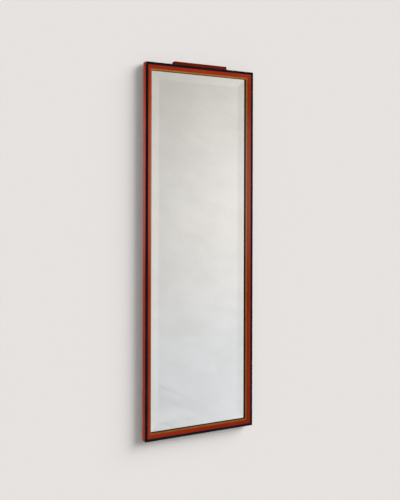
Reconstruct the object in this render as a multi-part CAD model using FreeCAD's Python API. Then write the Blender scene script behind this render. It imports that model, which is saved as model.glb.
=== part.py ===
import FreeCAD, Part
import os

# Tall wall mirror: a bevelled plate in a mitred, red-stained frame, with black strips along the outer
# edge, a gilt slip round the glass, a low crest rail on top and one swinging ring to hang it by.
# Millimetres. X runs along the wall, Y into the wall and Z up. The origin is on the wall plane,
# behind the middle of the hanger's barrel.
# A moulding is drawn with u, the distance in from the frame's outer edge, and v, the distance
# forward from the frame's back.

# Frame, without the crest rail
frame_height = 1200.0
frame_width = 395.0
corner_round = 2.0
back_bevel = 1.0

# Black strip, let into the front outer corner of the stiles and rails
strip_width = 8.3
strip_thickness = 2.0
strip_bevel = 0.6
joint_bevel = 0.25

# Red face that slopes in from the strip, and the lip it ends in
face_width = 10.5
face_drop = 4.2
lip_thickness = 1.4
lip_overhang = 4.3
lip_round = 0.4

# Gilt slip, glued behind the lip
slip_reveal = 5.2
slip_drop = 3.4
slip_edge = 3.3
slip_round = 0.3

# Mirror plate, held behind the slip
glass_thickness = 5.0
glass_cover = 6.2
glass_play = 0.02
bevel_width = 30.0
bevel_drop = 1.4

# Card and board behind the plate
card_thickness = 0.8
board_thickness = 3.0
board_play = 0.5
board_recess = 2.7

# Softwood wedges that centre the plate in the rebate
packer_length = 24.0
packer_height = 2.4
packer_taper = 0.8
stile_packers = 3
rail_packers = 2

# Cut sprigs, tapered and without heads, driven into the rebate wall over the board
sprig_length = 16.0
sprig_grip = 8.0
sprig_width = 1.8
sprig_tip = 0.5
sprig_thickness = 1.3
sprig_play = 0.05
stile_sprigs = 5
rail_sprigs = 2

# Loose splines inside the mitres
spline_length = 8.0
spline_width = 9.0
spline_thickness = 3.0
spline_play = 0.1

# Crest rail and its dowels
crest_length = 192.0
crest_height = 10.6
crest_setback = 4.2
crest_bevel = 1.0
dowel_diameter = 5.0
dowel_depth = 6.5
dowel_spacing = 110.0
dowel_bevel = 0.6
dowel_play = 0.1

# Hanger: stamped plate with a curled barrel, wire ring and two countersunk screws
pivot_drop = 9.0
sheet_thickness = 1.2
plate_rise = 7.5
barrel_length = 12.0
screw_spacing = 38.0
lobe_diameter = 11.0
wire_diameter = 2.4
wire_play = 0.08
ring_width = 20.0
ring_drop = 16.0
ring_corner = 3.0
ring_clearance = 0.9
screw_diameter = 3.0
screw_length = 12.0
screw_tip = 3.0
screw_head_diameter = 6.0
screw_slot_width = 0.8
screw_slot_depth = 0.6
screw_play = 0.05

# Felt pads that keep the lower end as far off the wall as the hanger keeps the upper end
wall_gap = 0.24
pad_diameter = 12.0
pad_rise = 30.0

# How far a cutting body runs past what it cuts, and how close counts as the same line
overrun = 1.0
tolerance = 1e-6
mitre_angle = 45

# Section of the moulding, worked out from the wall side to the front
bevel_rise = bevel_drop * glass_cover / bevel_width
glass_edge = glass_thickness - bevel_drop
board_front = board_recess + board_thickness
glass_back = board_front + card_thickness
slip_back = glass_back + glass_edge + bevel_rise + glass_play
sight_front = slip_back + slip_edge
lip_back = sight_front + slip_drop
lip_front = lip_back + lip_thickness
frame_depth = lip_front + face_drop
lip_u = strip_width + face_width
sight_u = lip_u + slip_reveal
rebate_u = lip_u - lip_overhang
glass_u = sight_u - glass_cover

# Places in the frame of the whole mirror
barrel_radius = wire_diameter / 2 + wire_play + sheet_thickness
back_y = -(2 * barrel_radius + wall_gap)
pivot_y = back_y + barrel_radius
top_z = pivot_drop
bottom_z = top_z - frame_height
middle_z = (top_z + bottom_z) / 2
front_y = back_y - frame_depth
left_x = -frame_width / 2
right_x = frame_width / 2
crest_depth = frame_depth - crest_setback
screw_places = (-screw_spacing / 2, screw_spacing / 2)
screw_z = plate_rise - lobe_diameter / 2

V = FreeCAD.Vector
x_axis = V(1, 0, 0)
y_axis = V(0, 1, 0)
z_axis = V(0, 0, 1)


def turned(angle, place):
    return FreeCAD.Placement(place, FreeCAD.Rotation(y_axis, angle))


# A bar is made as the bottom side, with u upwards, and turned about Y onto its own side
sides = {
    "bottom": (frame_width, turned(0, V(0, back_y, bottom_z))),
    "left": (frame_height, turned(90, V(left_x, back_y, middle_z))),
    "top": (frame_width, turned(180, V(0, back_y, top_z))),
    "right": (frame_height, turned(-90, V(right_x, back_y, middle_z))),
}


def moved(solid, placement):
    result = solid.copy()
    result.Placement = placement * result.Placement
    return result


def save(name, solids):
    shape = solids[0] if len(solids) == 1 else Part.makeCompound(solids)
    shape.exportStep("parts/" + name + ".step")


def polygon_face(corners):
    return Part.Face(Part.makePolygon(corners + corners[:1]))


def bar(outline, length):
    corners = [V(-length / 2, -v, u) for u, v in outline]
    return polygon_face(corners).extrude(V(length, 0, 0))


def long_edge(solid, u, v):
    def on_line(vertex):
        return vertex.Point.distanceToLine(V(0, -v, u), x_axis) < tolerance

    return [edge for edge in solid.Edges if all(on_line(vertex) for vertex in edge.Vertexes)]


def mitred(solid, length):
    ends = [(-1, -overrun), (1, -overrun), (1, sight_u + overrun), (-1, sight_u + overrun)]
    corners = [V(side * (length / 2 - u), overrun, u) for side, u in ends]
    wedge = polygon_face(corners).extrude(V(0, -(frame_depth + 2 * overrun), 0))
    return solid.common(wedge)


def spread(count, span):
    return [(index + 0.5 - count / 2) * span / count for index in range(count)]


def rail(length):
    front = frame_depth - strip_thickness
    outline = [(0, 0), (0, front), (strip_width, front), (strip_width, frame_depth)]
    outline += [(lip_u, lip_front), (lip_u, lip_back), (rebate_u, lip_back), (rebate_u, 0)]
    solid = bar(outline, length)
    solid = solid.makeChamfer(joint_bevel, long_edge(solid, strip_width, frame_depth))
    solid = solid.makeFillet(lip_round, long_edge(solid, lip_u, lip_front))
    return mitred(solid, length)


def edge_strip(length):
    floor = frame_depth - strip_thickness
    outline = [(0, floor), (0, frame_depth), (strip_width, frame_depth), (strip_width, floor)]
    solid = bar(outline, length)
    solid = solid.makeChamfer(joint_bevel, long_edge(solid, strip_width, frame_depth))
    return mitred(solid, length)


def eased_outline():
    body = Part.makeBox(frame_width, frame_depth, frame_height, V(left_x, front_y, bottom_z))

    def rim(y):
        return [edge for edge in body.Edges if abs(edge.CenterOfMass.y - y) < tolerance]

    body = body.makeFillet(corner_round, rim((front_y + back_y) / 2))
    body = body.makeChamfer(strip_bevel, rim(front_y))
    return body.makeChamfer(back_bevel, rim(back_y))


def gilt_slip(length):
    outline = [(rebate_u, slip_back), (rebate_u, lip_back), (lip_u, lip_back)]
    outline += [(sight_u, sight_front), (sight_u, slip_back)]
    solid = bar(outline, length)
    solid = solid.makeFillet(slip_round, long_edge(solid, sight_u, sight_front))
    return mitred(solid, length)


def mirror_plate(width, height):
    front = glass_back + glass_thickness
    shoulder = glass_back + glass_edge

    def section(size):
        half = size / 2
        flat = half - bevel_width
        return [(-half, glass_back), (half, glass_back), (half, shoulder), (flat, front),
                (-flat, front), (-half, shoulder)]

    upright = polygon_face([V(s, back_y - v, middle_z - height / 2) for s, v in section(width)])
    level = polygon_face([V(-width / 2, back_y - v, middle_z + s) for s, v in section(height)])
    return upright.extrude(V(0, 0, height)).common(level.extrude(V(width, 0, 0)))


def sheet(width, height, back, thickness):
    corner = V(-width / 2, back_y - back - thickness, middle_z - height / 2)
    return Part.makeBox(width, thickness, height, corner)


def packer():
    thin_end = glass_u - packer_taper
    corners = [V(-packer_length / 2, -glass_back, rebate_u), V(packer_length / 2, -glass_back, rebate_u)]
    corners += [V(packer_length / 2, -glass_back, glass_u), V(-packer_length / 2, -glass_back, thin_end)]
    return polygon_face(corners).extrude(V(0, -packer_height, 0))


def sprig(play):
    start = rebate_u - sprig_grip - play
    end = start + sprig_length + 2 * play
    outline = [(-sprig_tip / 2 - play, start), (sprig_tip / 2 + play, start)]
    outline += [(sprig_width / 2 + play, end), (-sprig_width / 2 - play, end)]
    face = polygon_face([V(x, -board_recess - play, u) for x, u in outline])
    return face.extrude(V(0, sprig_thickness + 2 * play, 0))


def along_sides(solid, stile_count, rail_count):
    result = {}
    for side, (length, placement) in sides.items():
        count = stile_count if length == frame_height else rail_count
        places = spread(count, length - 2 * rebate_u)
        result[side] = [moved(moved(solid, turned(0, V(x, 0, 0))), placement) for x in places]
    return result


def splines(play):
    size = (spline_length + 2 * play, spline_thickness + 2 * play, spline_width + 2 * play)
    block = Part.makeBox(*size, V(-size[0] / 2, -size[1] / 2, -size[2] / 2))
    inset = rebate_u / 2
    level = back_y - (frame_depth - strip_thickness) / 2
    result = []
    for side in (-1, 1):
        x = side * (right_x - inset)
        result.append(moved(block, turned(side * mitre_angle, V(x, level, bottom_z + inset))))
        result.append(moved(block, turned(-side * mitre_angle, V(x, level, top_z - inset))))
    return result


def crest_rail():
    corner = V(-crest_length / 2, back_y - crest_depth, top_z)
    solid = Part.makeBox(crest_length, crest_depth, crest_height, corner)
    upper = [edge for edge in solid.Edges if edge.BoundBox.ZMax > top_z + crest_bevel]
    return solid.makeChamfer(crest_bevel, upper)


def dowel_blanks(play):
    depth = dowel_depth + play
    places = [V(x, back_y - crest_depth / 2, top_z - depth) for x in (-dowel_spacing / 2, dowel_spacing / 2)]
    return [Part.makeCylinder(dowel_diameter / 2 + play, 2 * depth, place, z_axis) for place in places]


def dowels():
    return [peg.makeChamfer(dowel_bevel, [edge for edge in peg.Edges if edge.Closed])
            for peg in dowel_blanks(0)]


def screw_blanks(play):
    radius = screw_diameter / 2 + play
    head_radius = screw_head_diameter / 2 + play
    tip_y = back_y + sheet_thickness - screw_length - play
    outline = [V(0, tip_y, 0), V(radius, tip_y + screw_tip, 0), V(radius, back_y, 0)]
    outline += [V(head_radius, back_y + sheet_thickness, 0), V(0, back_y + sheet_thickness, 0)]
    blank = polygon_face(outline).revolve(V(0, 0, 0), y_axis, 360)
    return [moved(blank, turned(0, V(x, 0, screw_z))) for x in screw_places]


def hanger_screws():
    slot_floor = back_y + sheet_thickness - screw_slot_depth
    slot_start = V(-screw_slot_width / 2, slot_floor, -screw_head_diameter / 2)
    slot = Part.makeBox(screw_slot_width, screw_slot_depth + overrun, screw_head_diameter, slot_start)
    slots = [moved(slot, turned(0, V(x, 0, screw_z))) for x in screw_places]
    return [blank.cut(slots) for blank in screw_blanks(0)]


def hanger_plate():
    lobe_radius = lobe_diameter / 2
    bridge_z = barrel_radius + ring_clearance
    bridge = Part.makeBox(screw_spacing, sheet_thickness, plate_rise - bridge_z,
                          V(-screw_spacing / 2, back_y, bridge_z))
    tongue = Part.makeBox(barrel_length, sheet_thickness, plate_rise, V(-barrel_length / 2, back_y, 0))
    barrel = Part.makeCylinder(barrel_radius, barrel_length, V(-barrel_length / 2, pivot_y, 0), x_axis)
    lobes = [Part.makeCylinder(lobe_radius, sheet_thickness, V(x, back_y, screw_z), y_axis)
             for x in screw_places]
    bore = Part.makeCylinder(wire_diameter / 2 + wire_play, barrel_length + 2 * overrun,
                             V(-barrel_length / 2 - overrun, pivot_y, 0), x_axis)
    solid = bridge.fuse([tongue, barrel] + lobes).removeSplitter()
    return solid.cut([bore] + screw_blanks(screw_play))


def hanger_ring():
    radius = wire_diameter / 2
    half = ring_width / 2
    straight = half - ring_corner
    leg_end = ring_drop - half

    def bend(section, section_axis, centre, angle):
        circle = Part.Wire(Part.makeCircle(radius, section, section_axis))
        return Part.Face(circle).revolve(centre, y_axis, angle)

    bar_start = V(-straight, pivot_y, 0)
    pieces = [Part.makeCylinder(radius, 2 * straight, bar_start, x_axis)]
    for side in (-1, 1):
        corner = V(side * straight, pivot_y, -ring_corner)
        pieces.append(bend(V(side * straight, pivot_y, 0), x_axis, corner, side * 90))
        leg_start = V(side * half, pivot_y, -leg_end)
        pieces.append(Part.makeCylinder(radius, leg_end - ring_corner, leg_start, z_axis))
    pieces.append(bend(V(half, pivot_y, -leg_end), z_axis, V(0, pivot_y, -leg_end), 180))
    return pieces[0].fuse(pieces[1:]).removeSplitter()


def wall_pad(x):
    return Part.makeCylinder(pad_diameter / 2, -back_y, V(x, back_y, bottom_z + pad_rise), y_axis)


os.makedirs("parts", exist_ok=True)

rail_names = {"left": "left_stile", "right": "right_stile", "top": "top_rail", "bottom": "bottom_rail"}
sprig_holes = along_sides(sprig(sprig_play), stile_sprigs, rail_sprigs)
sockets = splines(spline_play)
top_holes = dowel_blanks(dowel_play) + screw_blanks(screw_play)
outline = eased_outline()
for side, (length, placement) in sides.items():
    wood = moved(rail(length), placement).common(outline).cut(sprig_holes[side] + sockets)
    if side == "top":
        wood = wood.cut(top_holes)
    save(rail_names[side], [wood])
    save(side + "_edge_strip", [moved(edge_strip(length), placement).common(outline)])
    save(side + "_gilt_slip", [moved(gilt_slip(length), placement)])

glass_width = frame_width - 2 * glass_u
glass_height = frame_height - 2 * glass_u
save("mirror_glass", [mirror_plate(glass_width, glass_height)])
save("backing_card", [sheet(glass_width, glass_height, board_front, card_thickness)])
board_edge = rebate_u + board_play
save("backboard", [sheet(frame_width - 2 * board_edge, frame_height - 2 * board_edge,
                         board_recess, board_thickness)])
save("glass_packers", sum(along_sides(packer(), stile_packers, rail_packers).values(), []))
save("backboard_sprigs", sum(along_sides(sprig(0), stile_sprigs, rail_sprigs).values(), []))
save("mitre_splines", splines(0))
save("crest_rail", [crest_rail().cut(dowel_blanks(dowel_play))])
save("crest_dowels", dowels())
save("hanger_plate", [hanger_plate()])
save("hanger_ring", [hanger_ring()])
save("hanger_screws", hanger_screws())
save("left_wall_pad", [wall_pad(left_x + rebate_u / 2)])
save("right_wall_pad", [wall_pad(right_x - rebate_u / 2)])
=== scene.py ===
import bmesh
import bpy
import math
import random
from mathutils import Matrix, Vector


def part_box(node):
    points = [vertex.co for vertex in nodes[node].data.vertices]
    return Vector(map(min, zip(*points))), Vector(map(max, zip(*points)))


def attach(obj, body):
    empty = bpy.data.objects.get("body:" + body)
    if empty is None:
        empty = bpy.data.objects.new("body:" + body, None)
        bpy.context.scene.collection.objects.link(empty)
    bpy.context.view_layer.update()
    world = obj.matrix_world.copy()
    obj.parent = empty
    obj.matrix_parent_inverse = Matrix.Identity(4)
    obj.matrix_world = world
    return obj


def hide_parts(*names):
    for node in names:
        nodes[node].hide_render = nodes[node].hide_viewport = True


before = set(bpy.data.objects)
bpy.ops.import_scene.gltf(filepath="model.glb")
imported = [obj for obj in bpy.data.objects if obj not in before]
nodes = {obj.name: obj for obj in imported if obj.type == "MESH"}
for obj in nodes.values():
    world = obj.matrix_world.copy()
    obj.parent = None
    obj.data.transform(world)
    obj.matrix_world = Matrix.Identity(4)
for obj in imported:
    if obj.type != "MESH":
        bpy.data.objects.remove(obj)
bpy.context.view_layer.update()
print("frame loaded with", len(nodes), "pieces")

mm = 0.001
near = 0.02 * mm        # points this close to a line count as on it
weld = 0.004 * mm       # points this close are merged

# Lines of the moulding, read from the frame. u runs in from the outer edge, v forward from the back
stileLow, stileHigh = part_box("left_stile")
stripLow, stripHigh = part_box("left_edge_strip")
slipLow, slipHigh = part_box("left_gilt_slip")
left = stileLow.x
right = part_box("right_stile")[1].x
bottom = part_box("bottom_rail")[0].z
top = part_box("top_rail")[1].z
back = stileHigh.y
frameDepth = back - stripLow.y
stripWidth = stripHigh.x - left
stripFloor = back - stripHigh.y
lipLine = stileHigh.x - left
rebateLine = slipLow.x - left
sightLine = slipHigh.x - left
lipBack = back - slipLow.y
lipThickness = 1.4 * mm     # no box of the frame gives this one
lipFront = lipBack + lipThickness
slipBack = back - slipHigh.y

inward = {"left": Vector((1, 0, 0)), "right": Vector((-1, 0, 0)),
          "top": Vector((0, 0, -1)), "bottom": Vector((0, 0, 1))}
grain = {"left": "z", "right": "z", "top": "x", "bottom": "x"}      # the axis that each member runs along


# Shader maths

class Wire:
    # one socket of a node tree, so that sums on it are written as sums
    def __init__(self, tree, socket=None):
        self.tree = tree
        self.socket = socket

    def add(self, kind, settings, sockets, output=0):
        node = self.tree.nodes.new("ShaderNode" + kind)
        for name, value in settings.items():
            if name == "stops":
                self.setStops(node.color_ramp.elements, value)
            else:
                setattr(node, name, value)
        for name, value in sockets.items():
            if isinstance(value, Wire):
                self.tree.links.new(value.socket, node.inputs[name])
            else:
                node.inputs[name].default_value = value
        return Wire(self.tree, node.outputs[output] if len(node.outputs) else None)

    def setStops(self, elements, stops):
        while len(elements) < len(stops):
            elements.new(1)
        for element, (position, tone) in zip(elements, stops):
            element.position = position
            element.color = tone

    def math(self, operation, first, second=0.0):
        return self.add("Math", {"operation": operation}, {0: first, 1: second})

    def __add__(self, other):
        return self.math("ADD", self, other)

    def __radd__(self, other):
        return self.math("ADD", other, self)

    def __sub__(self, other):
        return self.math("SUBTRACT", self, other)

    def __rsub__(self, other):
        return self.math("SUBTRACT", other, self)

    def __mul__(self, other):
        return self.math("MULTIPLY", self, other)

    def __rmul__(self, other):
        return self.math("MULTIPLY", other, self)

    def __truediv__(self, other):
        return self.math("DIVIDE", self, other)

    def least(self, other):
        return self.math("MINIMUM", self, other)

    def most(self, other):
        return self.math("MAXIMUM", self, other)

    def size(self):
        return self.math("ABSOLUTE", self)

    def soft(self, low, high):      # 0 below low, 1 above high, smooth between
        return self.add("MapRange", {"interpolation_type": "SMOOTHSTEP"},
                        {"Value": self, "From Min": low, "From Max": high})

    def between(self, low, high):       # low where this is 0, high where it is 1
        return self * (high - low) + low

    def blend(self, first, second):     # a colour, by this value
        return self.add("Mix", {"data_type": "RGBA"}, {0: self, 6: first, 7: second}, 2)

    def tint(self, tone, amount):       # multiply a colour into this one
        return self.add("Mix", {"data_type": "RGBA", "blend_type": "MULTIPLY"},
                        {0: amount, 6: self, 7: tone}, 2)

    def noise(self, scale, detail, roughness):
        return self.add("TexNoise", {}, {"Vector": self, "Scale": scale, "Detail": detail,
                                         "Roughness": roughness})

    def stretch(self, x, y, z):     # make a pattern finer along each axis by these factors
        return self.add("VectorMath", {"operation": "MULTIPLY"}, {0: self, 1: (x, y, z)})

    def axis(self, name):
        return self.add("SeparateXYZ", {}, {0: self}, name)


def newFinish(name):
    material = bpy.data.materials.new(name)
    material.use_nodes = True
    tree = material.node_tree
    shader = tree.nodes["Principled BSDF"]
    where = Wire(tree).add("TexCoord", {}, {}, "Object")
    return material, shader, where


def feed(shader, where, **values):
    for name, value in values.items():
        socket = shader.inputs[name.replace("_", " ")]
        if isinstance(value, Wire):
            where.tree.links.new(value.socket, socket)
        else:
            socket.default_value = value


def bump(where, height, strength, distance):
    return where.add("Bump", {}, {"Height": height, "Strength": strength, "Distance": distance}, "Normal")


def colour(red, green, blue):
    return (red, green, blue, 1.0)


def mixOf(shares, *patterns):       # patterns added up, each by its share
    first, *others = [pattern * share for pattern, share in zip(patterns, shares)]
    return sum(others, first)


def grainNoise(where, along, run, cross, detail, roughness):        # a pattern drawn out along the grain
    stretched = where.stretch(*[run if axis == along else cross for axis in "xyz"])
    return stretched.noise(1.0, detail, roughness)


def insetOf(where):     # u of the moulding at any point of the frame
    x, z = where.axis("X"), where.axis("Z")
    return (x - left).least(right - x).least((z - bottom).least(top - z))


def heightOf(where):        # v of the moulding
    return back - where.axis("Y")


# where the painted band of light and the painted shade towards the bottom lie
paintedLightAndShadeSpans = {"centre": 0.33, "full": 0.06, "end": 0.30, "lowStart": 0.15}      # shares of the height


def dropOf(where):      # 0 at the top, 1 at the bottom
    return (top - where.axis("Z")) / (top - bottom)


def paintedLightBand(where):       # painted light: 1 about a third of the way down, where a band of light is painted in paler and rosier
    return 1.0 - (dropOf(where) - paintedLightAndShadeSpans["centre"]).size().soft(paintedLightAndShadeSpans["full"], paintedLightAndShadeSpans["end"])


def shadedLowPart(where):     # painted shade: grows from 0 in the upper part to 1 at the bottom
    return dropOf(where).soft(paintedLightAndShadeSpans["lowStart"], 1.0)


# Finishes. A noise is scale, detail and roughness, a grain has two scales first, along and across

redStain = {
    "dark": colour(0.220, 0.0140, 0.0040),
    "mid": colour(0.320, 0.0220, 0.0060),
    "light": colour(0.390, 0.0380, 0.0110),
    "worn": colour(0.420, 0.120, 0.045),
    # painted light: the paler, rosier tone of the band of light a third of the way down
    "paintedLightTone": colour(0.420, 0.090, 0.066),
    "grime": colour(0.30, 0.26, 0.24),
    # painted shade: the darker, less red tone multiplied in towards the bottom
    "paintedLowShade": colour(0.77, 0.70, 0.72),
    "figureGrain": (1.75, 147.0, 4.0, 0.6),
    "fibreGrain": (13.0, 1092.0, 3.0, 0.55),
    "poreGrain": (33.0, 2772.0, 1.0, 0.5),
    "patchNoise": (9.0, 3.0, 0.5),
    "rubNoise": (160.0, 3.0, 0.65),
    "toneShares": (0.55, 0.30, 0.35),       # figure, fibre, patch
    "toneRange": (0.38, 0.82),      # where it sets in and where it is full
    "poreRange": (0.62, 0.70),
    "pore": 0.55,
    "paintedLightShare": 0.55,
    "rubRange": (0.40, 0.62),
    "wearWidth": 1.1 * mm,
    "wearRange": (0.5 * mm, 1.4 * mm),
    "wear": 0.5,
    "seamRange": (0.2 * mm, 1.0 * mm),
    "seamFront": 0.5 * mm,
    "seam": 0.8,
    "roughness": 0.29,
    "roughShares": (0.18, 0.06, 0.20),      # fibre, patch, wear
    "bumpShares": (0.5, -0.5),      # fibre, pores
    "bump": (0.18, 0.2 * mm),       # strength, distance
    "gloss": 0.08,
}


def frameArrises(where):        # how far a point is from the nearest edge that hands and dusters reach
    u, v = insetOf(where), heightOf(where)
    lipEdge = (u - lipLine).size() + (v - lipFront).size()
    sideEdge = u + (v - stripFloor).size()
    return lipEdge.least(sideEdge).least(u + v)


def crestArrises(where):
    low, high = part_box("crest_rail")
    x, y, z = [where.axis(name) for name in "XYZ"]
    endEdge = (x - low.x).least(high.x - x)
    return (high.z - z) + (y - low.y).least(high.y - y).least(endEdge)


def stainedWood(name, along, look, arrises):
    material, shader, where = newFinish(name)
    figure = grainNoise(where, along, *look["figureGrain"])
    fibre = grainNoise(where, along, *look["fibreGrain"])
    pores = grainNoise(where, along, *look["poreGrain"]).soft(*look["poreRange"])
    patch = where.noise(*look["patchNoise"])
    tone = mixOf(look["toneShares"], figure, fibre, patch).soft(*look["toneRange"])
    stops = [(0.0, look["dark"]), (0.5, look["mid"]), (1.0, look["light"])]
    base = where.add("ValToRGB", {"stops": stops}, {"Fac": tone})
    base = (pores * look["pore"]).blend(base, look["dark"])
    # painted light: a paler, rosier band a third of the way down
    base = (paintedLightBand(where) * look["paintedLightShare"]).blend(base, look["paintedLightTone"])
    # painted shade: darker towards the bottom
    base = base.tint(look["paintedLowShade"], shadedLowPart(where))
    rub = where.noise(*look["rubNoise"])
    edgeFar = arrises(where) + rub * look["wearWidth"]
    worn = (1.0 - edgeFar.soft(*look["wearRange"])) * rub.soft(*look["rubRange"])
    base = (worn * look["wear"]).blend(base, look["worn"])
    seam = 1.0 - (insetOf(where) - stripWidth).size().soft(*look["seamRange"])
    onFront = (heightOf(where) - stripFloor).soft(0.0, look["seamFront"])
    base = base.tint(look["grime"], seam * onFront * look["seam"])
    roughness = look["roughness"] + mixOf(look["roughShares"], fibre, patch, worn)
    height = mixOf(look["bumpShares"], fibre, pores)
    feed(shader, where, Base_Color=base, Roughness=roughness, Specular_IOR_Level=look["gloss"],
         Normal=bump(where, height, *look["bump"]))
    return material


crestStain = {
    **redStain,
    "dark": colour(0.084, 0.0055, 0.0015),
    "mid": colour(0.130, 0.0090, 0.0020),
    "light": colour(0.170, 0.0160, 0.0040),
    "worn": colour(0.240, 0.050, 0.018),
    "paintedLowShade": colour(1.0, 1.0, 1.0),
    "paintedLightShare": 0.0,
    "gloss": 0.03,
}

endGrainLook = {
    "dark": colour(0.020, 0.002, 0.001),
    "light": colour(0.060, 0.007, 0.003),
    "ringStretch": (1.0, 1.0, 2.2),
    "ringNoise": (900.0, 3.0, 0.6),
    "ringRange": (0.3, 0.7),
    "roughness": (0.55, 0.65),
    "bump": (0.2, 0.15 * mm),
    "gloss": 0.15,
}


def endGrain():
    look = endGrainLook
    material, shader, where = newFinish("crestEndGrain")
    rings = where.stretch(*look["ringStretch"]).noise(*look["ringNoise"])
    base = rings.soft(*look["ringRange"]).blend(look["dark"], look["light"])
    feed(shader, where, Base_Color=base, Roughness=rings.between(*look["roughness"]),
         Specular_IOR_Level=look["gloss"], Normal=bump(where, rings, *look["bump"]))
    return material


rawLook = {
    "dark": colour(0.170, 0.092, 0.045),
    "light": colour(0.300, 0.175, 0.090),
    "pore": colour(0.095, 0.048, 0.022),
    "bleed": colour(0.250, 0.045, 0.020),
    "figureGrain": (3.0, 150.0, 5.0, 0.6),
    "fibreGrain": (45.0, 1900.0, 3.0, 0.6),
    "sawGrain": (800.0, 60.0, 2.0, 0.5),
    "smearNoise": (45.0, 3.0, 0.6),
    "toneShares": (0.65, 0.25, 0.10),       # figure, fibre, saw marks
    "toneRange": (0.32, 0.70),
    "poreRange": (0.56, 0.70),
    "poreShare": 0.55,
    "bleedWidth": 3.5 * mm,
    "smear": 1.6,
    "bleedRange": (1.0, 1.8),
    "bleedShare": 0.85,
    "roughness": (0.66, 0.82),
    "bumpShares": (0.6, 0.4),       # fibre, saw marks
    "bump": (0.3, 0.2 * mm),
    "gloss": 0.2,
}


def rawWood(name, along):       # unstained back, with red that ran over the edge
    look = rawLook
    material, shader, where = newFinish(name)
    figure = grainNoise(where, along, *look["figureGrain"])
    fibre = grainNoise(where, along, *look["fibreGrain"])
    saw = grainNoise(where, along, *look["sawGrain"])
    tone = mixOf(look["toneShares"], figure, fibre, saw).soft(*look["toneRange"])
    base = tone.blend(look["dark"], look["light"])
    base = (fibre.soft(*look["poreRange"]) * look["poreShare"]).blend(base, look["pore"])
    smear = where.noise(*look["smearNoise"])
    bled = 1.0 - (insetOf(where) / look["bleedWidth"] + smear * look["smear"]).soft(*look["bleedRange"])
    base = (bled * look["bleedShare"]).blend(base, look["bleed"])
    height = mixOf(look["bumpShares"], fibre, saw)
    feed(shader, where, Base_Color=base, Roughness=saw.between(*look["roughness"]),
         Specular_IOR_Level=look["gloss"], Normal=bump(where, height, *look["bump"]))
    return material


# Black lacquer of the edge strips

lacquer = {
    "black": colour(0.0022, 0.0034, 0.0042),
    "faded": colour(0.0080, 0.0085, 0.0090),
    "bare": colour(0.230, 0.050, 0.030),
    "brushGrain": (12.0, 500.0, 3.0, 0.6),
    "patchNoise": (22.0, 3.0, 0.5),
    "rubNoise": (210.0, 4.0, 0.7),
    "toneShares": (0.5, 0.5),       # brush, patch
    "toneRange": (0.42, 0.72),
    "rubShares": (0.6, 0.4),        # rub, patch
    "rubRange": (0.58, 0.66),
    "wearRange": (0.35 * mm, 1.3 * mm),
    "wear": 0.55,
    "chipDrops": (66 * mm, 382 * mm),       # two chips on the right, from the top
    "chipTaper": 0.25,
    "chipRub": 1.5 * mm,
    "chipRange": (1.8 * mm, 6.3 * mm),
    "chip": 0.5,
    "roughness": 0.26,
    "roughShares": (0.20, 0.25),        # patch, bare wood
    "bump": (0.15, 0.15 * mm),
    "gloss": 0.08,
}


def blackLacquer(along):
    look = lacquer
    material, shader, where = newFinish("blackLacquer_" + along)
    brush = grainNoise(where, along, *look["brushGrain"])
    patch = where.noise(*look["patchNoise"])
    tone = mixOf(look["toneShares"], brush, patch).soft(*look["toneRange"])
    base = tone.blend(look["black"], look["faded"])
    rub = where.noise(*look["rubNoise"])
    rubbed = mixOf(look["rubShares"], rub, patch).soft(*look["rubRange"])
    arrisFar = insetOf(where) + (frameDepth - heightOf(where))
    worn = (1.0 - arrisFar.soft(*look["wearRange"])) * rubbed
    z = where.axis("Z")
    upper, lower = [(z - (top - drop)).size() for drop in look["chipDrops"]]
    fromSide = (right - where.axis("X")).size() * look["chipTaper"]
    chipFar = upper.least(lower) + fromSide + rub * look["chipRub"]
    chip = 1.0 - chipFar.soft(*look["chipRange"])
    bare = (worn * look["wear"]).most(chip * look["chip"])
    base = bare.blend(base, look["bare"])
    roughness = look["roughness"] + mixOf(look["roughShares"], patch, bare)
    feed(shader, where, Base_Color=base, Roughness=roughness,
         Specular_IOR_Level=look["gloss"], Normal=bump(where, brush - bare, *look["bump"]))
    return material


# Bronze gilding of the slips

gilding = {
    "bronze": colour(0.385, 0.140, 0.020),
    "bright": colour(0.505, 0.212, 0.036),
    # painted light: the paler tone of the band of light a third of the way down
    "paintedLightTone": colour(0.540, 0.260, 0.125),
    "bole": colour(0.180, 0.040, 0.018),
    "dirt": colour(0.120, 0.050, 0.017),
    # painted shade: the darker tone multiplied in towards the bottom
    "paintedLowShade": colour(0.78, 0.68, 0.60),
    "streakGrain": (36.0, 312.0, 4.0, 0.65),
    "cloudNoise": (38.0, 3.0, 0.6),
    "rubNoise": (280.0, 4.0, 0.7),
    "toneShares": (0.5, 0.5),       # streak, cloud
    "toneRange": (0.35, 0.70),
    "wearWidth": 1.2 * mm,
    "wearRange": (0.4 * mm, 1.5 * mm),
    "rubRange": (0.45, 0.60),
    "spotShares": (0.5, 0.5),       # rub, cloud
    "spotRange": (0.64, 0.72),
    "spot": 0.6,
    "dirtRange": (0.1 * mm, 1.4 * mm),
    "dirtShare": 0.6,
    "dirtDull": 0.4,
    "paintedLightShare": 0.6,
    "metal": 0.7,
    "roughness": 0.32,
    "roughShares": (0.2, 0.2),      # cloud, wear
    "bumpShares": (1.0, 0.3),       # streak, rub
    "bump": (0.2, 0.12 * mm),
}


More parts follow.
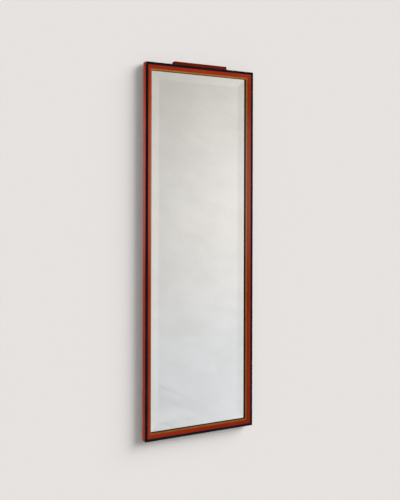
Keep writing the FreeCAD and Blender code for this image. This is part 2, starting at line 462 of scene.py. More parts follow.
def bronzeGilt(along):
    look = gilding
    material, shader, where = newFinish("bronzeGilt_" + along)
    streak = grainNoise(where, along, *look["streakGrain"])
    cloud = where.noise(*look["cloudNoise"])
    rub = where.noise(*look["rubNoise"])
    tone = mixOf(look["toneShares"], streak, cloud).soft(*look["toneRange"])
    base = tone.blend(look["bronze"], look["bright"])
    u = insetOf(where)
    edgeFar = sightLine - u + rub * look["wearWidth"]
    worn = (1.0 - edgeFar.soft(*look["wearRange"])) * rub.soft(*look["rubRange"])
    worn = worn.most(mixOf(look["spotShares"], rub, cloud).soft(*look["spotRange"]) * look["spot"])
    dirt = 1.0 - (u - lipLine).soft(*look["dirtRange"])
    base = (dirt * look["dirtShare"]).blend(base, look["dirt"])
    base = worn.blend(base, look["bole"])
    # painted light: a paler band a third of the way down
    base = (paintedLightBand(where) * look["paintedLightShare"]).blend(base, look["paintedLightTone"])
    # painted shade: darker towards the bottom
    base = base.tint(look["paintedLowShade"], shadedLowPart(where))
    metal = look["metal"] * (1.0 - worn) * (1.0 - dirt * look["dirtDull"])
    roughness = look["roughness"] + mixOf(look["roughShares"], cloud, worn)
    height = mixOf(look["bumpShares"], streak, rub)
    feed(shader, where, Base_Color=base, Metallic=metal, Roughness=roughness,
         Normal=bump(where, height, *look["bump"]))
    return material


darkEdgeLook = {
    "dark": colour(0.010, 0.006, 0.004),
    "light": colour(0.030, 0.018, 0.011),
    "mottleNoise": (150.0, 4.0, 0.65),
    "mottleRange": (0.35, 0.70),
    "roughness": (0.60, 0.75),
    "bump": (0.15, 0.1 * mm),
    "gloss": 0.15,
}


def darkSightEdge():
    look = darkEdgeLook
    material, shader, where = newFinish("darkSightEdge")
    mottle = where.noise(*look["mottleNoise"])
    base = mottle.soft(*look["mottleRange"]).blend(look["dark"], look["light"])
    feed(shader, where, Base_Color=base, Roughness=mottle.between(*look["roughness"]),
         Specular_IOR_Level=look["gloss"], Normal=bump(where, mottle, *look["bump"]))
    return material


# Mirror plate

glassLook = {
    "clear": colour(0.975, 0.990, 0.982),
    "edge": colour(0.300, 0.430, 0.380),
    "index": 1.52,
    "filmNoise": (14.0, 4.0, 0.6),
    "filmRange": (0.45, 0.90),
    "filmRoughness": 0.015,
    "groundNoise": (900.0, 2.0, 0.5),
    "groundRoughness": (0.5, 0.7),
    "groundBump": (0.2, 0.1 * mm),
}


def plateGlass():
    look = glassLook
    material, shader, where = newFinish("plateGlass")
    film = where.noise(*look["filmNoise"]).soft(*look["filmRange"])
    feed(shader, where, Base_Color=look["clear"], IOR=look["index"], Transmission_Weight=1.0,
         Roughness=film * look["filmRoughness"])
    return material


def plateEdge():
    look = glassLook
    material, shader, where = newFinish("plateEdge")
    ground = where.noise(*look["groundNoise"])
    base = ground.blend(look["edge"], look["clear"])
    feed(shader, where, Base_Color=base, Roughness=ground.between(*look["groundRoughness"]),
         Normal=bump(where, ground, *look["groundBump"]))
    return material


silverLook = {
    "silver": colour(0.955, 0.950, 0.945),
    "cloud": colour(0.890, 0.884, 0.878),
    "spot": colour(0.420, 0.370, 0.310),
    "wipeSlant": math.radians(17),
    "wipeSize": (0.13, 1.0, 0.055),
    "wipeNoise": (1.0, 4.0, 0.6),
    "hazeNoise": (5.0, 3.0, 0.55),
    "cloudShares": (0.45, 0.55),        # wipe, haze
    "cloudRange": (0.36, 0.66),
    "spotNoise": (420.0, 2.0, 0.6),
    "spotReach": 9.0 * mm,
    "spotRise": 0.09,
    "spotRange": (0.74, 0.80),
    "spotShare": 0.7,
    "roughness": 0.012,
    "roughShares": (0.015, 0.3),        # cloud, spots
}


def oldSilver():
    look = silverLook
    material, shader, where = newFinish("oldSilver")
    slant = where.add("Mapping", {"vector_type": "TEXTURE"},
                      {"Vector": where, "Rotation": (0, look["wipeSlant"], 0), "Scale": look["wipeSize"]})
    wipe = slant.noise(*look["wipeNoise"])
    haze = where.noise(*look["hazeNoise"])
    cloud = mixOf(look["cloudShares"], wipe, haze).soft(*look["cloudRange"])
    base = cloud.blend(look["silver"], look["cloud"])
    nearEdge = 1.0 - (insetOf(where) - sightLine).soft(0.0, look["spotReach"])
    fleck = where.noise(*look["spotNoise"]) + nearEdge * look["spotRise"]
    spots = fleck.soft(*look["spotRange"]) * nearEdge
    base = (spots * look["spotShare"]).blend(base, look["spot"])
    roughness = look["roughness"] + mixOf(look["roughShares"], cloud, spots)
    feed(shader, where, Base_Color=base, Metallic=1.0, Roughness=roughness)
    return material


# Back and inner pieces

plyLook = {
    "dark": colour(0.215, 0.125, 0.058),
    "light": colour(0.360, 0.225, 0.115),
    "stain": colour(0.130, 0.082, 0.045),
    "warpNoise": (2.2, 2.0, 0.5),
    "warp": (0.05, 0.0, 0.0),
    "ringStretch": (60.0, 60.0, 1.6),
    "ringNoise": (0.55, 5.0, 0.62),
    "fibreGrain": (30.0, 1500.0, 3.0, 0.6),
    "ageNoise": (3.2, 4.0, 0.6),
    "toneShares": (0.75, 0.25),     # rings, fibre
    "toneRange": (0.34, 0.68),
    "fibreRange": (0.58, 0.72),
    "fibre": 0.45,
    "ageRange": (0.52, 0.78),
    "age": 0.55,
    "dustWidth": 14.0 * mm,
    "dust": 0.45,
    "roughness": (0.62, 0.78),
    "bumpShares": (0.4, 0.6),       # rings, fibre
    "bump": (0.25, 0.2 * mm),
    "gloss": 0.2,
}


def plywood():
    look = plyLook
    material, shader, where = newFinish("plywood")
    pushed = where.add("VectorMath", {"operation": "MULTIPLY_ADD"},
                       {0: where.noise(*look["warpNoise"]), 1: look["warp"], 2: where})
    rings = pushed.stretch(*look["ringStretch"]).noise(*look["ringNoise"])
    fibre = grainNoise(where, "z", *look["fibreGrain"])
    tone = mixOf(look["toneShares"], rings, fibre).soft(*look["toneRange"])
    base = tone.blend(look["dark"], look["light"])
    base = (fibre.soft(*look["fibreRange"]) * look["fibre"]).blend(base, look["stain"])
    aged = where.noise(*look["ageNoise"]).soft(*look["ageRange"])
    base = (aged * look["age"]).blend(base, look["stain"])
    dust = 1.0 - (insetOf(where) - rebateLine).soft(0.0, look["dustWidth"])
    base = (dust * look["dust"]).blend(base, look["stain"])
    height = mixOf(look["bumpShares"], rings, fibre)
    feed(shader, where, Base_Color=base, Roughness=fibre.between(*look["roughness"]),
         Specular_IOR_Level=look["gloss"], Normal=bump(where, height, *look["bump"]))
    return material


pineLook = {
    "dark": colour(0.360, 0.215, 0.095),
    "light": colour(0.540, 0.370, 0.190),
    "ringStretch": (220.0, 90.0, 220.0),
    "ringNoise": (1.0, 4.0, 0.6),
    "ringRange": (0.32, 0.68),
    "roughness": (0.60, 0.75),
    "bump": (0.2, 0.15 * mm),
}


def plainPine():
    look = pineLook
    material, shader, where = newFinish("plainPine")
    rings = where.stretch(*look["ringStretch"]).noise(*look["ringNoise"])
    base = rings.soft(*look["ringRange"]).blend(look["dark"], look["light"])
    feed(shader, where, Base_Color=base, Roughness=rings.between(*look["roughness"]),
         Normal=bump(where, rings, *look["bump"]))
    return material


cardLook = {
    "dark": colour(0.215, 0.190, 0.155),
    "light": colour(0.330, 0.300, 0.250),
    "pulpNoise": (650.0, 5.0, 0.7),
    "ageNoise": (7.0, 3.0, 0.5),
    "toneShares": (0.5, 0.5),       # pulp, age
    "toneRange": (0.36, 0.66),
    "roughness": (0.82, 0.92),
    "bump": (0.25, 0.1 * mm),
}


def greyCard():
    look = cardLook
    material, shader, where = newFinish("greyCard")
    pulp = where.noise(*look["pulpNoise"])
    tone = mixOf(look["toneShares"], pulp, where.noise(*look["ageNoise"])).soft(*look["toneRange"])
    base = tone.blend(look["dark"], look["light"])
    feed(shader, where, Base_Color=base, Roughness=pulp.between(*look["roughness"]),
         Normal=bump(where, pulp, *look["bump"]))
    return material


brassLook = {
    "brass": colour(0.660, 0.430, 0.155),
    "brown": colour(0.150, 0.082, 0.034),
    "tarnishNoise": (260.0, 4.0, 0.6),
    "scratchStretch": (1500.0, 300.0, 300.0),
    "scratchNoise": (1.0, 2.0, 0.5),
    "dullRange": (0.42, 0.72),
    "dull": 0.65,
    "metal": (1.0, 0.75),
    "roughness": 0.22,
    "roughShares": (0.28, 0.08),        # tarnish, scratches
    "bumpShares": (0.5, 0.5),       # tarnish, scratches
    "bump": (0.12, 0.05 * mm),
}


def agedBrass():
    look = brassLook
    material, shader, where = newFinish("agedBrass")
    tarnish = where.noise(*look["tarnishNoise"])
    scratch = where.stretch(*look["scratchStretch"]).noise(*look["scratchNoise"])
    dull = tarnish.soft(*look["dullRange"])
    base = (dull * look["dull"]).blend(look["brass"], look["brown"])
    roughness = look["roughness"] + mixOf(look["roughShares"], dull, scratch)
    height = mixOf(look["bumpShares"], tarnish, scratch)
    feed(shader, where, Base_Color=base, Metallic=dull.between(*look["metal"]), Roughness=roughness,
         Normal=bump(where, height, *look["bump"]))
    return material


steelLook = {
    "steel": colour(0.330, 0.320, 0.310),
    "rust": colour(0.130, 0.058, 0.026),
    "rustNoise": (700.0, 4.0, 0.65),
    "rustRange": (0.42, 0.66),
    "metal": (1.0, 0.2),
    "roughness": (0.36, 0.71),
    "bump": (0.2, 0.06 * mm),
}


def dullSteel():
    look = steelLook
    material, shader, where = newFinish("dullSteel")
    rust = where.noise(*look["rustNoise"]).soft(*look["rustRange"])
    base = rust.blend(look["steel"], look["rust"])
    feed(shader, where, Base_Color=base, Metallic=rust.between(*look["metal"]),
         Roughness=rust.between(*look["roughness"]), Normal=bump(where, rust, *look["bump"]))
    return material


feltLook = {
    "dark": colour(0.030, 0.027, 0.024),
    "light": colour(0.085, 0.078, 0.068),
    "fluffNoise": (2600.0, 4.0, 0.7),
    "tuftNoise": (700.0, 3.0, 0.6),
    "toneShares": (0.6, 0.4),       # fluff, tufts
    "toneRange": (0.34, 0.68),
    "roughness": (0.88, 0.98),
    "bump": (0.5, 0.2 * mm),
    "sheen": 0.35,
    "sheenRoughness": 0.5,
    "gloss": 0.1,
}


def pressedFelt():
    look = feltLook
    material, shader, where = newFinish("pressedFelt")
    fluff = where.noise(*look["fluffNoise"])
    tuft = where.noise(*look["tuftNoise"])
    tone = mixOf(look["toneShares"], fluff, tuft).soft(*look["toneRange"])
    base = tone.blend(look["dark"], look["light"])
    feed(shader, where, Base_Color=base, Roughness=fluff.between(*look["roughness"]),
         Sheen_Weight=look["sheen"], Sheen_Roughness=look["sheenRoughness"],
         Specular_IOR_Level=look["gloss"], Normal=bump(where, fluff + tuft, *look["bump"]))
    return material


red = {axis: stainedWood("redStain_" + axis, axis, redStain, frameArrises) for axis in "xz"}
raw = {axis: rawWood("rawBack_" + axis, axis) for axis in "xz"}
black = {axis: blackLacquer(axis) for axis in "xz"}
gilt = {axis: bronzeGilt(axis) for axis in "xz"}
sightEdgeFinish = darkSightEdge()
crestRed = stainedWood("crestStain", "x", crestStain, crestArrises)
crestEnd = endGrain()
glass, glassEdge, silver = plateGlass(), plateEdge(), oldSilver()
print("finishes made:", len(bpy.data.materials))


# Modelling

def placeOn(side, u, v, along):
    y = back - v
    if side == "left":
        return Vector((left + u, y, along))
    if side == "right":
        return Vector((right - u, y, along))
    if side == "top":
        return Vector((along, y, top - u))
    return Vector((along, y, bottom + u))


def lineOf(side, point):        # u and v of a point, seen from its own side of the frame
    u = {"left": point.x - left, "right": right - point.x, "top": top - point.z, "bottom": point.z - bottom}
    return u[side], back - point.y


def pick(piece, kind, test):        # select the parts of a mesh that pass the test
    bpy.ops.mesh.select_mode(type=kind)
    bpy.ops.mesh.select_all(action="DESELECT")
    shape = bmesh.from_edit_mesh(piece.data)
    items = {"VERT": shape.verts, "EDGE": shape.edges, "FACE": shape.faces}[kind]
    for item in items:
        if test(item):
            item.select_set(True)
    bmesh.update_edit_mesh(piece.data)


def startPiece(name):
    piece = bpy.context.object
    piece.name = name
    piece.data.name = name
    bpy.ops.object.mode_set(mode="EDIT")
    bpy.ops.mesh.select_mode(type="VERT")
    bpy.ops.mesh.select_all(action="SELECT")
    return piece


def startCube(name, low, high):
    bpy.ops.object.select_all(action="DESELECT")
    bpy.ops.mesh.primitive_cube_add(size=1, location=(low + high) / 2, scale=high - low)
    bpy.ops.object.transform_apply(location=True, rotation=True, scale=True)
    return startPiece(name)


def endPiece(smooth=35):        # edges that turn less than this, in degrees, are shaded smooth
    bpy.ops.mesh.select_all(action="SELECT")
    bpy.ops.mesh.remove_doubles(threshold=weld)
    bpy.ops.mesh.normals_make_consistent(inside=False)
    bpy.ops.object.mode_set(mode="OBJECT")
    bpy.ops.object.transform_apply(location=True, rotation=True, scale=True)
    bpy.ops.object.shade_smooth_by_angle(angle=math.radians(smooth))


def ends(side):
    return (bottom, top) if grain[side] == "z" else (left, right)


def drawBar(name, side, outline):       # draw the section, fill it and pull it out to length
    start, end = ends(side)
    corners = [placeOn(side, u, v, start) for u, v in outline]
    bpy.ops.object.select_all(action="DESELECT")
    bpy.ops.mesh.primitive_plane_add(size=mm)
    bar = startPiece(name)
    bpy.ops.mesh.merge(type="CENTER")
    bpy.ops.transform.translate(value=corners[0])
    for here, there in zip(corners, corners[1:]):
        bpy.ops.mesh.extrude_vertices_move(TRANSFORM_OT_translate={"value": there - here})
    bpy.ops.mesh.select_all(action="SELECT")
    bpy.ops.mesh.edge_face_add()
    run = placeOn(side, 0, 0, end) - placeOn(side, 0, 0, start)
    bpy.ops.mesh.extrude_region_move(TRANSFORM_OT_translate={"value": run})
    bpy.ops.mesh.select_all(action="SELECT")
    bpy.ops.mesh.normals_make_consistent(inside=False)
    return bar


easedCorner = {"round": 2.0 * mm, "turns": (15, 30, 45), "reach": 0.8 * mm, "segments": 4}


def roundArris(bar, side, u, v, radius, segments):
    def onLine(edge):
        lines = [lineOf(side, point.co) for point in edge.verts]
        return all(abs(a - u) < near and abs(b - v) < near for a, b in lines)

    pick(bar, "EDGE", onLine)
    bpy.ops.mesh.bevel(offset=radius, segments=segments, affect="EDGES")


def cutAway(place, away):       # take off all that lies beyond a plane
    bpy.ops.mesh.select_all(action="SELECT")
    bpy.ops.mesh.bisect(plane_co=place, plane_no=away, use_fill=True, clear_outer=True)


def cutMitres(side, gap):
    start, end = ends(side)
    forward = (placeOn(side, 0, 0, end) - placeOn(side, 0, 0, start)).normalized()
    for along, outward in ((start, -forward), (end, forward)):
        tip = placeOn(side, 0, 0, along)
        away = (inward[side] + outward).normalized()
        cutAway(tip - away * gap, away)
        centre = tip + (inward[side] - outward) * easedCorner["round"]
        for turn in easedCorner["turns"]:       # ease the tip of the mitre, in flats round an arc
            away = outward * math.sin(math.radians(turn)) - inward[side] * math.cos(math.radians(turn))
            cutAway(centre + away * easedCorner["round"], away)


def roundRim(bar, side, v, radius):     # the outer arris, right round to the eased corners
    def onRim(edge):
        lines = [lineOf(side, point.co) for point in edge.verts]
        return all(a < easedCorner["reach"] and abs(b - v) < near for a, b in lines)

    pick(bar, "EDGE", onRim)
    bpy.ops.mesh.bevel(offset=radius, segments=easedCorner["segments"], affect="EDGES")


def paintFaces(piece, finishes, choose):        # give each face the finish that choose() names by number
    piece.data.materials.clear()
    for finish in finishes:
        piece.data.materials.append(finish)
    for face in piece.data.polygons:
        face.material_index = choose(face)


def paintAll(piece, finish):
    paintFaces(piece, [finish], lambda face: 0)


def settle(piece, slot, *stoodFor, body="frame"):
    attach(piece, body)
    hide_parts(*stoodFor)
    piece.visible_diffuse = slot != "red_wood"      # the wall in the photo takes no red from the frame


# Stiles and rails, with arrises given as radius and segments

rails = {"lipRound": (0.5 * mm, 3), "grooveRound": (0.25 * mm, 1), "backRound": 1.0 * mm,
         "mitreGap": 0.03 * mm, "backFacing": 0.6,
         "nodes": {"left": "left_stile", "right": "right_stile",
                   "top": "top_rail", "bottom": "bottom_rail"}}


def frameMember(side):
    outline = [(0, 0), (0, stripFloor), (stripWidth, stripFloor), (stripWidth, frameDepth),
               (lipLine, lipFront), (lipLine, lipBack), (rebateLine, lipBack), (rebateLine, 0)]
    bar = drawBar(side + "Member", side, outline)
    roundArris(bar, side, stripWidth, frameDepth, *rails["grooveRound"])
    roundArris(bar, side, lipLine, lipFront, *rails["lipRound"])
    cutMitres(side, rails["mitreGap"])
    roundRim(bar, side, 0, rails["backRound"])
    endPiece()

    def unstained(face):
        inRebate = abs(lineOf(side, face.center)[0] - rebateLine) < near
        return int(face.normal.y > rails["backFacing"] or inRebate)

    axis = grain[side]
    paintFaces(bar, [red[axis], raw[axis]], unstained)
    settle(bar, "red_wood", rails["nodes"][side])


for side in inward:
    frameMember(side)
print("stiles and rails drawn")


# Edge strips, with knocks along the outer arris

strips = {"outerRound": 0.8 * mm, "innerRound": (0.25 * mm, 1), "mitreGap": 0.03 * mm, "knocksPerMetre": 5,
          "knockDepth": (0.1 * mm, 0.35 * mm), "knockLength": (1.2 * mm, 3.5 * mm), "knockReach": 0.84 * mm,
          "endClear": 12 * mm, "seed": 31}


def knockArris(bar, side, along, length, depth):
    axis = "xyz".index(grain[side])
    normal = [0, 0, 0]
    normal[axis] = 1
    for shift in (-length / 2, 0, length / 2):
        bpy.ops.mesh.select_all(action="SELECT")
        bpy.ops.mesh.bisect(plane_co=placeOn(side, 0, 0, along + shift), plane_no=normal)

    def onKnock(point):
        u, v = lineOf(side, point.co)
        atArris = u + frameDepth - v < strips["knockReach"]
        return atArris and abs(point.co[axis] - along) < near

    pick(bar, "VERT", onKnock)
    push = inward[side] + Vector((0, 1, 0))
    bpy.ops.transform.translate(value=push.normalized() * depth)


def edgeStrip(side, chance):
    outline = [(0, stripFloor), (0, frameDepth), (stripWidth, frameDepth), (stripWidth, stripFloor)]
    bar = drawBar(side + "Strip", side, outline)
    roundArris(bar, side, stripWidth, frameDepth, *strips["innerRound"])
    cutMitres(side, strips["mitreGap"])
    roundRim(bar, side, frameDepth, strips["outerRound"])
    start, end = ends(side)
    for knock in range(round((end - start) * strips["knocksPerMetre"])):
        along = chance.uniform(start + strips["endClear"], end - strips["endClear"])
        length = chance.uniform(*strips["knockLength"])
        depth = chance.uniform(*strips["knockDepth"])
        knockArris(bar, side, along, length, depth)
    endPiece()
    paintAll(bar, black[grain[side]])
    settle(bar, "black_wood", side + "_edge_strip")


chance = random.Random(strips["seed"])
for side in inward:
    edgeStrip(side, chance)
print("edge strips drawn")


# Gilt slips

slips = {"sightDrop": 3.4 * mm, "sightRound": (0.35 * mm, 3), "mitreGap": 0.03 * mm, "sightFacing": 0.92,
         "hiddenFacing": 0.5}


def giltSlip(side):
    sightFront = lipBack - slips["sightDrop"]
    outline = [(rebateLine, slipBack), (rebateLine, lipBack), (lipLine, lipBack), (sightLine, sightFront),
               (sightLine, slipBack)]
    bar = drawBar(side + "Slip", side, outline)
    roundArris(bar, side, sightLine, sightFront, *slips["sightRound"])
    cutMitres(side, slips["mitreGap"])
    endPiece()

    def ungilt(face):       # the sight edge, the back and the side against the rebate
        facing = face.normal.dot(inward[side])
        hidden = max(face.normal.y, -facing) > slips["hiddenFacing"]
        return int(facing > slips["sightFacing"] or hidden)

    paintFaces(bar, [gilt[grain[side]], sightEdgeFinish], ungilt)
    settle(bar, "gilt", side + "_gilt_slip")


for side in inward:
    giltSlip(side)
print("gilt slips drawn")


# Crest rail

crest = {"round": 1.0 * mm, "segments": 4, "endFacing": 0.7}


def crestRail():
    low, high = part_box("crest_rail")
    rail = startCube("crest", low, high)
    middle = (low.z + high.z) / 2
    pick(rail, "EDGE", lambda edge: max(point.co.z for point in edge.verts) > middle)
    bpy.ops.mesh.bevel(offset=crest["round"], segments=crest["segments"], affect="EDGES")
    endPiece()
    paintFaces(rail, [crestRed, crestEnd], lambda face: int(abs(face.normal.x) > crest["endFacing"]))
    settle(rail, "red_wood", "crest_rail")


crestRail()
print("crest drawn")


# Mirror plate: bevelled in front, silvered behind

plate = {"bevelWidth": 34 * mm, "bevelDrop": 1.4 * mm, "arris": 0.5 * mm, "arrisSegments": 3,
         "silverGap": 0.05 * mm, "rim": 1.0 * mm, "facing": 0.9, "smooth": 1}


def mirrorPlate():
    low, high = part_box("mirror_glass")
    high.y -= plate["silverGap"]        # a hair in front of the card, so that the two never share a plane
    glazing = startCube("mirrorPlate", low, high)
    pick(glazing, "FACE", lambda face: face.normal.y < -plate["facing"])
    bpy.ops.mesh.inset(thickness=plate["bevelWidth"])
    middle = (low + high) / 2
    half = (high - low) / 2

    def atRim(point):
        reach = max(abs(point.co.x - middle.x) - half.x, abs(point.co.z - middle.z) - half.z)
        return point.co.y < middle.y and reach > -plate["rim"]

    def onArris(edge):
        return all(point.co.y < low.y + near for point in edge.verts)

    pick(glazing, "VERT", atRim)
    bpy.ops.transform.translate(value=(0, plate["bevelDrop"], 0))
    pick(glazing, "EDGE", onArris)
    bpy.ops.mesh.bevel(offset=plate["arris"], segments=plate["arrisSegments"], affect="EDGES")
    endPiece(plate["smooth"])

    def plateFace(face):        # glass in front, silver behind, ground edges between
        if face.normal.y > plate["facing"]:
            return 2
        return 0 if face.normal.y < -plate["facing"] else 1

    paintFaces(glazing, [glass, glassEdge, silver], plateFace)
    settle(glazing, "mirror", "mirror_glass")


mirrorPlate()
print("mirror plate drawn")


# Felt pads

pads = {"around": 40, "rim": 0.9 * mm, "rimSegments": 4, "rings": 3, "ringWidth": 1.5 * mm,
        "sideHeight": 2 * mm, "sideCuts": 5, "fluff": 0.12 * mm, "fluffSize": 0.9 * mm, "fluffDepth": 2,
        "smooth": 60}
felt = pressedFelt()
fluffTexture = bpy.data.textures.new("feltFluff", "CLOUDS")
fluffTexture.noise_scale = pads["fluffSize"]
fluffTexture.noise_depth = pads["fluffDepth"]


def feltPad(name, node):
    low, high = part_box(node)
    bpy.ops.object.select_all(action="DESELECT")
    bpy.ops.mesh.primitive_cylinder_add(vertices=pads["around"], radius=(high.x - low.x) / 2,
                                        depth=high.y - low.y, location=(low + high) / 2,
                                        rotation=(math.radians(90), 0, 0))
    bpy.ops.object.transform_apply(location=True, rotation=True, scale=True)
    pad = startPiece(name)

    def onWallSide(edge):
        return all(point.co.y > high.y - near for point in edge.verts)

    def wallFace(face):
        return face.normal.y > 0 and len(face.verts) == pads["around"]

    def upSide(edge):
        return abs(edge.verts[0].co.y - edge.verts[1].co.y) > pads["sideHeight"]

    pick(pad, "EDGE", onWallSide)
    bpy.ops.mesh.bevel(offset=pads["rim"], segments=pads["rimSegments"], affect="EDGES")
    for ring in range(pads["rings"]):       # rings across the face that meets the wall
        pick(pad, "FACE", wallFace)
        bpy.ops.mesh.inset(thickness=pads["ringWidth"])
    bpy.ops.mesh.poke()
    pick(pad, "EDGE", upSide)
    bpy.ops.mesh.subdivide(number_cuts=pads["sideCuts"])
    endPiece(pads["smooth"])
    fluff = pad.modifiers.new("fluff", "DISPLACE")
    fluff.texture = fluffTexture
    fluff.texture_coords = "LOCAL"
    fluff.strength = pads["fluff"]
    fluff.mid_level = 1.0       # inwards only
    bpy.ops.object.modifier_apply(modifier="fluff")
    paintAll(pad, felt)
    settle(pad, "felt", node)


feltPad("leftPad", "left_wall_pad")
feltPad("rightPad", "right_wall_pad")
print("felt pads drawn")


# Hanger: the ring's wire is pulled along its straights and spun round its bends

hanger = {"around": 20, "corner": 3.0 * mm, "cornerSteps": 8, "bowSteps": 32, "edge": 0.15 * mm,
          "edgeSegments": 2, "weld": 0.001 * mm, "flat": 1, "sharp": 40, "smooth": 18}
brass = agedBrass()


def bendWire(steps, angle, x, y, z):
    bpy.ops.mesh.spin(steps=steps, angle=math.radians(angle), center=(x, y, z), axis=(0, 1, 0))


def pullWire(x, z):
    bpy.ops.mesh.extrude_region_move(TRANSFORM_OT_translate={"value": (x, 0, z)})


def hangerRing():
    low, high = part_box("hanger_ring")
    radius = (high.y - low.y) / 2
    y = low.y + radius
    half = high.x - radius
    bar = high.z - radius
    straight = half - hanger["corner"]
    cornerLine = bar - hanger["corner"]
    bow = low.z + radius + half
    bpy.ops.object.select_all(action="DESELECT")
    bpy.ops.mesh.primitive_circle_add(vertices=hanger["around"], radius=radius, location=(half, y, bow))
    bpy.ops.object.transform_apply(location=True, rotation=True, scale=True)
    ring = startPiece("hangerRing")
    bendWire(hanger["bowSteps"], -180, 0, y, bow)
    pullWire(0, cornerLine - bow)
    bendWire(hanger["cornerSteps"], -90, -straight, y, cornerLine)
    pullWire(2 * straight, 0)
    bendWire(hanger["cornerSteps"], -90, straight, y, cornerLine)
    pullWire(0, bow - cornerLine)
    endPiece()
    paintAll(ring, brass)
    settle(ring, "brass", "hanger_ring", body="ring")


def breakEdges(name, node):     # a copy of a metal piece with its sharp edges taken off
    bpy.ops.object.select_all(action="DESELECT")
    piece = bpy.data.objects.new(name, nodes[node].data.copy())
    bpy.context.scene.collection.objects.link(piece)
    bpy.context.view_layer.objects.active = piece
    piece.select_set(True)
    startPiece(name)
    bpy.ops.mesh.remove_doubles(threshold=hanger["weld"])
    bpy.ops.mesh.dissolve_limited(angle_limit=math.radians(hanger["flat"]))
    bpy.ops.object.mode_set(mode="OBJECT")
    edge = piece.modifiers.new("edge", "BEVEL")
    edge.width = hanger["edge"]
    edge.segments = hanger["edgeSegments"]
    edge.angle_limit = math.radians(hanger["sharp"])
    bpy.ops.object.modifier_apply(modifier="edge")
    bpy.ops.object.shade_smooth_by_angle(angle=math.radians(hanger["smooth"]))
    paintAll(piece, brass)
    settle(piece, "brass", node)


hangerRing()
breakEdges("hangerPlate", "hanger_plate")
breakEdges("hangerScrews", "hanger_screws")
print("hanger drawn")


# Finishes of the pieces that keep their own shape

pine = plainPine()
for name, finish in {"backboard": plywood(), "backing_card": greyCard(), "glass_packers": pine,
                     "mitre_splines": pine, "crest_dowels": pine, "backboard_sprigs": dullSteel()}.items():
    paintAll(nodes[name], finish)
print("finishes given to the frame's own pieces")


# Wall and floor, seen only by the camera and only from their fronts

stage = {"wall": colour(0.790, 0.761, 0.740), "floor": colour(0.790, 0.765, 0.745),
         "mottle": colour(0.785, 0.757, 0.737), "mottleNoise": (1.5, 3.0, 0.5), "mottleShare": 0.3,
         "wallGap": 0.4 * mm, "floorDrop": 0.76, "size": 24.0}


def stageFinish(name, tone):
    material = bpy.data.materials.new(name)
    material.use_nodes = True
    tree = material.node_tree
    tree.nodes.clear()
    start = Wire(tree)
    fromCamera = start.add("LightPath", {}, {}, "Is Camera Ray")
    fromBehind = start.add("NewGeometry", {}, {}, "Backfacing")
    mottle = start.add("TexCoord", {}, {}, "Object").noise(*stage["mottleNoise"])
    shade = (mottle * stage["mottleShare"]).blend(tone, stage["mottle"])
    paint = start.add("BsdfDiffuse", {}, {"Color": shade})
    clear = start.add("BsdfTransparent", {}, {})
    shown = start.add("MixShader", {}, {0: fromCamera * (1.0 - fromBehind), 1: clear, 2: paint})
    start.add("OutputMaterial", {}, {"Surface": shown})
    return material


def stagePlane(name, place, turn, tone):
    bpy.ops.object.select_all(action="DESELECT")
    bpy.ops.mesh.primitive_plane_add(size=stage["size"], location=place, rotation=turn)
    plane = bpy.context.object
    plane.name = name
    plane.data.materials.append(stageFinish(name, tone))
    return plane


stagePlanes = [
    stagePlane("wall", (0, stage["wallGap"], bottom - stage["floorDrop"] + stage["size"] / 2),
               (math.radians(90), 0, 0), stage["wall"]),
    stagePlane("floor", (0, stage["wallGap"] - stage["size"] / 2, bottom - stage["floorDrop"]),
               (0, 0, 0), stage["floor"]),
]
print("stage set")


# Light. Each lamp comes from an azimuth and a height in degrees

lights = {
    "wallKey": {"from": (57, 29), "angle": 42, "strength": 3.60, "lights": "stage"},
    "wallSoft": {"from": (28, 20), "angle": 60, "strength": 0.42, "lights": "stage"},
    "frontKey": {"from": (12, 3), "angle": 50, "strength": 2.15, "lights": "mirror"},
    "sideFill": {"from": (-97, 5), "angle": 20, "strength": 2.1, "lights": "mirror"},
    "topFill": {"from": (180, 75), "angle": 40, "strength": 1.6, "lights": "mirror", "sheen": True},
    "backFill": {"from": (165, 20), "angle": 60, "strength": 2.0, "lights": "mirror"},
}


def sunLight(name, look):
    azimuth, height = (math.radians(angle) for angle in look["from"])
    towards = Vector((math.sin(azimuth) * math.cos(height), -math.cos(azimuth) * math.cos(height),
                      math.sin(height)))
    sun = bpy.data.lights.new(name, "SUN")
    sun.energy = look["strength"]
    sun.angle = math.radians(look["angle"])
    lamp = bpy.data.objects.new(name, sun)
    lamp.rotation_mode = "QUATERNION"
    lamp.rotation_quaternion = towards.to_track_quat("Z", "Y")
    lamp.visible_glossy = look.get("sheen", False)
    lamp.visible_transmission = False
    bpy.context.scene.collection.objects.link(lamp)
    group = bpy.data.collections.new(name + "Group")        # the wall and floor have lamps of their own
    for plane in stagePlanes:
        group.objects.link(plane)
    for entry in group.collection_objects:
        entry.light_linking.link_state = "INCLUDE" if look["lights"] == "stage" else "EXCLUDE"
    lamp.light_linking.receiver_collection = group


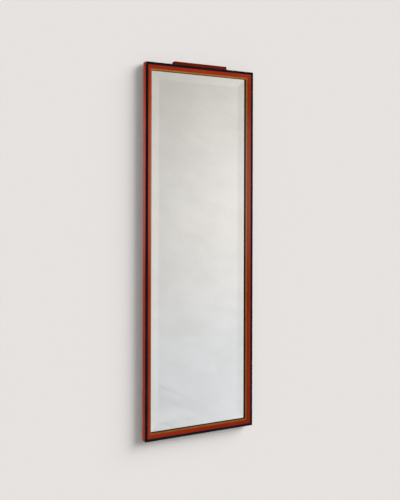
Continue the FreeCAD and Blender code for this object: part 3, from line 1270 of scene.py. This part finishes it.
# The room that the plate mirrors: a dim end, a bright window end, and a floor behind a skirting
surround = {
    "shade": 0.35,
    "dim": colour(0.590, 0.568, 0.548),
    "lowDim": colour(0.680, 0.652, 0.630),
    "lowRange": (0.02, 0.26),       # parts of a direction, where the tone sets in and where it is full
    "bright": colour(0.965, 0.930, 0.900),
    "brightRange": (0.30, 0.60),
    "cool": colour(0.906, 0.951, 1.010),
    "above": colour(0.790, 0.775, 0.745),
    "aboveRange": (0.0, 0.24),
    "unlit": colour(0.55, 0.54, 0.53),
    "unlitRange": (-0.15, 0.75),
    "wallShade": colour(0.30, 0.30, 0.30),
    "wallSide": (0.05, 0.35),
    "wallBack": (0.2, 0.8),
    "floorSlope": (0.497, 0.057),
    "skirting": colour(0.900, 0.895, 0.890),
    "skirtingHeight": 0.015,
    "skirtingEdge": 0.004,
    "skirtingFoot": 0.6,
    "skirtingLost": (0.39, 0.46),
    "boards": colour(1.070, 1.065, 1.055),
    "boardSize": (1.2, 7.0),
    "boardNoise": (1.0, 2.0, 0.5),
    "boardRange": (0.42, 0.64),
}


def mirroredTone(start):
    direction = start.add("TexCoord", {}, {}, "Generated")
    x, y, z = [direction.axis(name) for name in "XYZ"]
    down, toLeft = 0.0 - z, 0.0 - x
    low = down.soft(*surround["lowRange"])
    dim = low.blend(surround["dim"], surround["lowDim"])
    seen = x.soft(*surround["brightRange"]).blend(dim, surround["bright"])
    seen = seen.tint(surround["above"], z.soft(*surround["aboveRange"]))
    seen = seen.tint(surround["cool"], low)
    seen = seen.tint(surround["unlit"], toLeft.soft(*surround["unlitRange"]))
    besideWall = toLeft.soft(*surround["wallSide"]) * y.soft(*surround["wallBack"])
    seen = seen.tint(surround["wallShade"], besideWall)
    acrossSlope, awaySlope = surround["floorSlope"]
    wallFoot = x.size() * acrossSlope + y.size() * awaySlope + surround["skirtingHeight"]
    floor = down - wallFoot     # above 0 on the floor of the room
    edge = surround["skirtingEdge"]
    upper = 1.0 - (floor + surround["skirtingHeight"]).size().soft(0.0, edge)
    lower = 1.0 - floor.size().soft(0.0, edge)
    shown = 1.0 - x.soft(*surround["skirtingLost"])     # it is lost in the light of the window
    seen = seen.tint(surround["skirting"], (upper + lower * surround["skirtingFoot"]) * shown)
    alongBoard, acrossBoard = surround["boardSize"]
    boards = start.add("CombineXYZ", {}, {"X": x / z * alongBoard, "Y": y / z * acrossBoard})
    pale = boards.noise(*surround["boardNoise"]).soft(*surround["boardRange"])
    return seen.tint(surround["boards"], floor.soft(0.0, edge) * pale)


def paleRoom():
    world = bpy.data.worlds.new("paleRoom")
    bpy.context.scene.world = world
    world.use_nodes = True
    tree = world.node_tree
    tree.nodes.clear()
    start = Wire(tree)
    direct, glossy, through = [start.add("LightPath", {}, {}, "Is " + kind + " Ray")
                               for kind in ("Camera", "Glossy", "Transmission")]
    ambient = colour(surround["shade"], surround["shade"], surround["shade"])
    tone = glossy.most(through).blend(ambient, mirroredTone(start))
    tone = direct.blend(tone, stage["wall"])
    light = start.add("Background", {}, {"Color": tone, "Strength": 1.0})
    start.add("OutputWorld", {}, {"Surface": light})


for name, look in lights.items():
    sunLight(name, look)
paleRoom()
print("lights set")


# Camera

view = {"place": (-1.05582, -2.0564, -0.4516), "yaw": 27.385, "roll": -0.151, "focal": 698.39,
        "horizonRow": 207.75, "height": 500, "sensor": 36.0}        # focal, horizonRow and height in pixels


def photoCamera():
    lens = bpy.data.cameras.new("photoView")
    lens.sensor_width = view["sensor"]
    lens.lens = view["focal"] / view["height"] * view["sensor"]
    lens.shift_y = (view["horizonRow"] - view["height"] / 2) / view["height"]
    camera = bpy.data.objects.new("photoView", lens)
    camera.location = view["place"]
    camera.rotation_euler = (math.radians(90), math.radians(view["roll"]), math.radians(-view["yaw"]))
    bpy.context.scene.collection.objects.link(camera)
    bpy.context.scene.camera = camera


photoCamera()
bpy.context.scene.view_settings.view_transform = "Standard"
